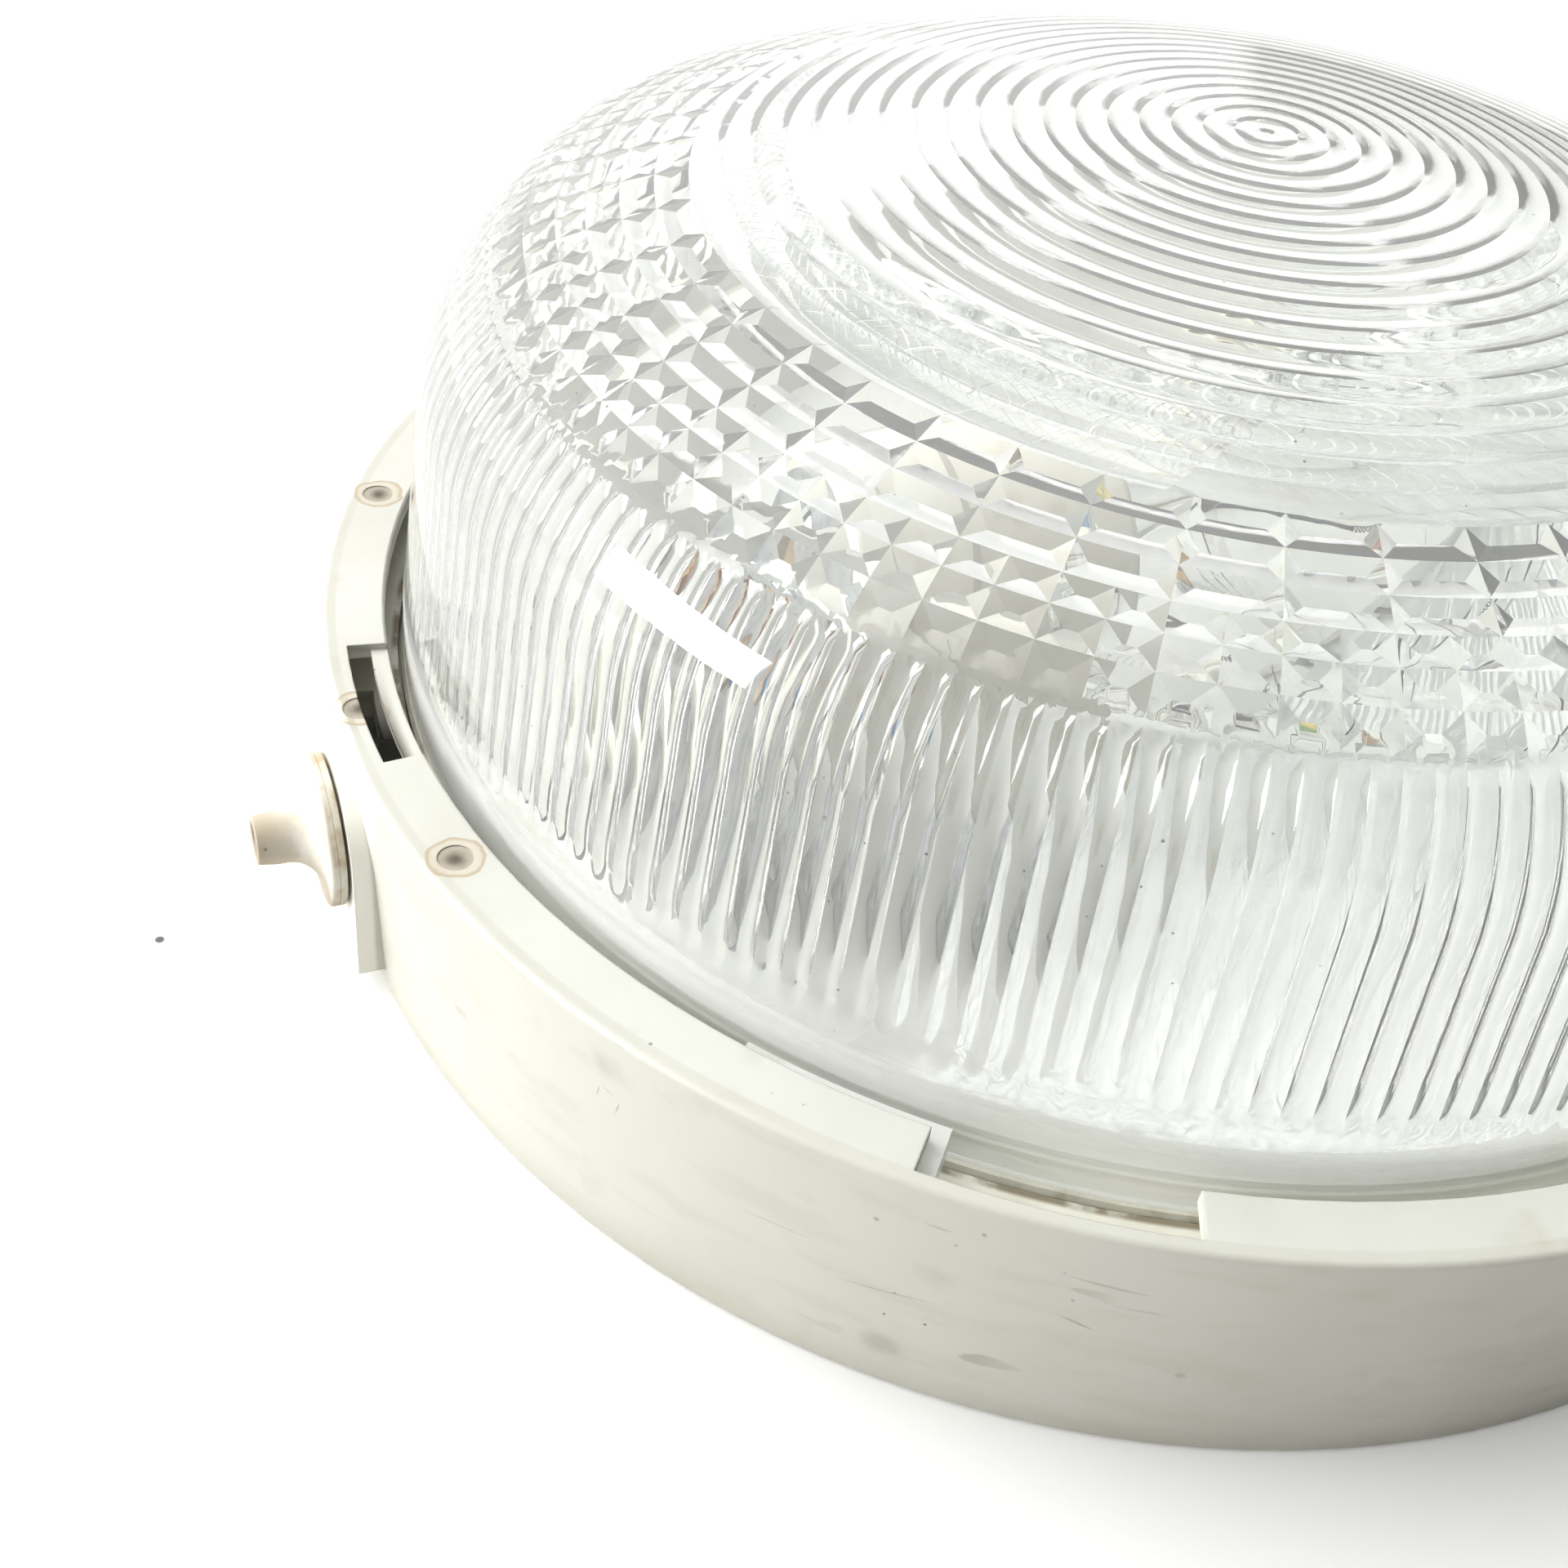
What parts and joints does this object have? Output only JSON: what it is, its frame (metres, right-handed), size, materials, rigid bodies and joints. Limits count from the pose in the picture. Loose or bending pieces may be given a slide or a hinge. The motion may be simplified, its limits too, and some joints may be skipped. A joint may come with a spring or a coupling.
{
  "type": "round bulkhead light",
  "caption": "Round bulkhead light: cream moulded housing, bayonet prismatic glass, screw-cap lamp and holder on a reflector, and a rubber cable grommet.",
  "frame": {"origin": "centre of the housing's flat back face, which lies on the wall, ceiling or table", "axes": "+Z out of the wall through the middle of the glass, -X along the cable entry, +Y completes the set"},
  "size_m": [0.249, 0.237, 0.1084],
  "materials": {
    "cream_moulding": "satin cream moulded plastic, lightly soiled",
    "clear_glass": "clear pressed glass, smooth outside, prisms inside",
    "bulb_glass": "thin clear blown glass",
    "dark_rubber": "matt dark brown-black rubber",
    "pale_rubber": "matt pale grey rubber",
    "beige_rubber": "aged beige rubber with brown stains",
    "white_enamel": "semi-gloss white stoved enamel on steel",
    "zinc_plate": "bright zinc plate",
    "porcelain": "glazed white porcelain",
    "nickel_plate": "dull nickel plate on brass",
    "brass": "plain brass",
    "white_nylon": "translucent white nylon",
    "black_vitrite": "glossy black glass insulator",
    "tungsten": "dull grey wire",
    "brown_sheath": "brown insulated wire",
    "blue_sheath": "blue insulated wire",
    "green_sheath": "green insulated wire with a yellow stripe"
  },
  "bodies": {
    "housing": {"base": "cream_moulding", "lens_gasket": "pale_rubber", "cable_grommet": "beige_rubber", "fixing_washers": "dark_rubber", "reflector": "white_enamel", "reflector_screws": "zinc_plate", "holder_bracket": "zinc_plate", "bracket_rivets": "zinc_plate", "lamp_holder": "porcelain", "holder_shell": "nickel_plate", "holder_contact": "brass", "holder_terminals": "brass", "holder_screws": "zinc_plate", "terminal_block": "white_nylon", "terminal_sleeves": "brass", "terminal_screws": "zinc_plate", "terminal_block_screw": "zinc_plate", "earth_screw": "brass", "earth_washer": "zinc_plate", "live_lead": "brown_sheath", "neutral_lead": "blue_sheath", "earth_lead": "green_sheath"},
    "glass": {"lens": "clear_glass"},
    "lamp_foot": {"cap_contact": "brass"},
    "lamp": {"lamp_bulb": "bulb_glass", "lamp_stem": "bulb_glass", "lamp_filament": "tungsten", "lamp_cap": "nickel_plate", "cap_insulator": "black_vitrite"}
  },
  "joints": [
    {"name": "glass_turn", "type": "hinge", "parent": "housing", "child": "glass", "pos_m": [0, 0, 0.0375], "axis": [0, 0, 1], "range_deg": [0, 13.05]},
    {"name": "lamp_travel", "type": "slide", "parent": "housing", "child": "lamp_foot", "axis": [1, 0, 0], "range_m": [0, 0.0128]},
    {"name": "lamp_turn", "type": "hinge", "parent": "lamp_foot", "child": "lamp", "pos_m": [-0.047, -0.012, 0.046], "axis": [1, 0, 0], "range_deg": [0, 1260]}
  ],
  "couplings": [
    {"joint": "lamp_travel", "follows": "lamp_turn", "m_per_rad": 0.00057757}
  ]
}
